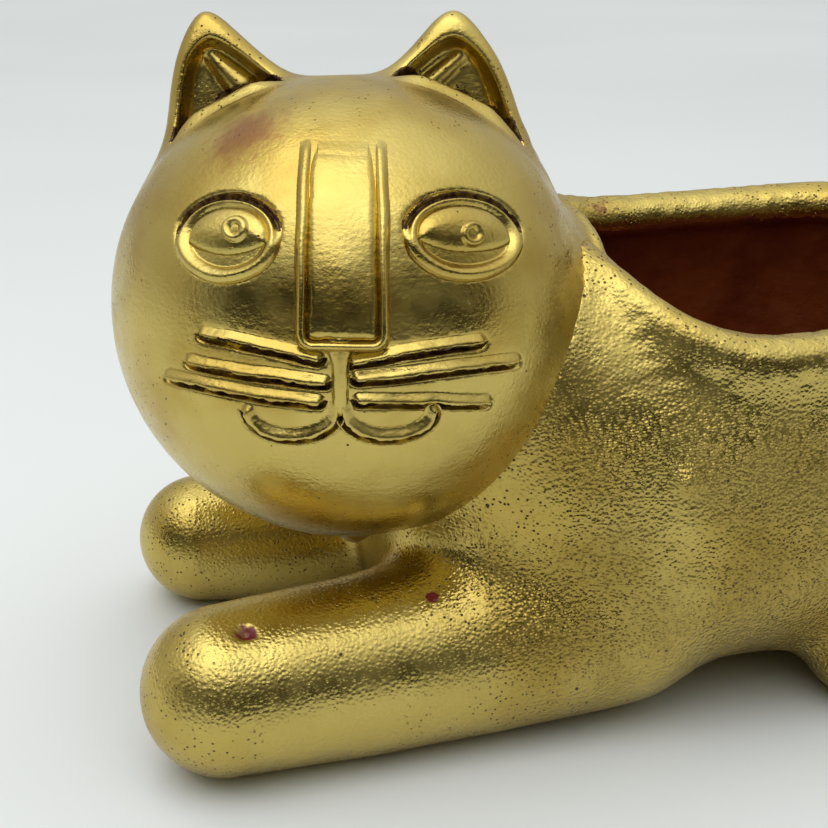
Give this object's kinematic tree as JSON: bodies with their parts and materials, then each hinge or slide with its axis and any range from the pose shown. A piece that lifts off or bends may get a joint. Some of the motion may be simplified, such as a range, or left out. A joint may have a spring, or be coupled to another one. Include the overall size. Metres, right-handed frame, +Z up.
{
  "type": "cat planter figure",
  "caption": "Reclining pottery cat painted gold, with a ball head turned to the viewer and a hollow body open at the top as a plant pot.",
  "frame": {"origin": "on the ground, under the middle of the figure's overall length and width", "axes": "+Z up, -X the way the forepaws point, -Y the near side, which the face looks towards"},
  "size_m": [0.2475, 0.1208, 0.1495],
  "materials": {
    "gold_paint": "metallic paint over fired clay, uneven gloss",
    "gold_smooth": "metallic paint, brushed and glossy on the applied face clay",
    "red_clay": "matt undercoat over fired clay"
  },
  "bodies": {
    "root": {"body_pot": "red_clay", "rim_coil": "gold_paint", "head_shell": "gold_paint", "neck_seam": "gold_paint", "left_ear": "gold_paint", "right_ear": "gold_paint", "left_eye_rim": "gold_smooth", "right_eye_rim": "gold_smooth", "left_eyeball": "gold_smooth", "right_eyeball": "gold_smooth", "left_pupil": "gold_smooth", "right_pupil": "gold_smooth", "nose_bar": "gold_smooth", "nose_panel": "gold_smooth", "philtrum": "gold_smooth", "left_lip": "gold_smooth", "right_lip": "gold_smooth", "left_top_whisker": "gold_smooth", "left_middle_whisker": "gold_smooth", "left_lower_whisker": "gold_smooth", "right_top_whisker": "gold_smooth", "right_middle_whisker": "gold_smooth", "right_lower_whisker": "gold_smooth", "left_foreleg": "gold_paint", "right_foreleg": "gold_paint", "left_haunch": "gold_paint", "right_haunch": "gold_paint", "left_hind_paw": "gold_paint", "right_hind_paw": "gold_paint", "tail": "gold_paint"}
  },
  "joints": []
}
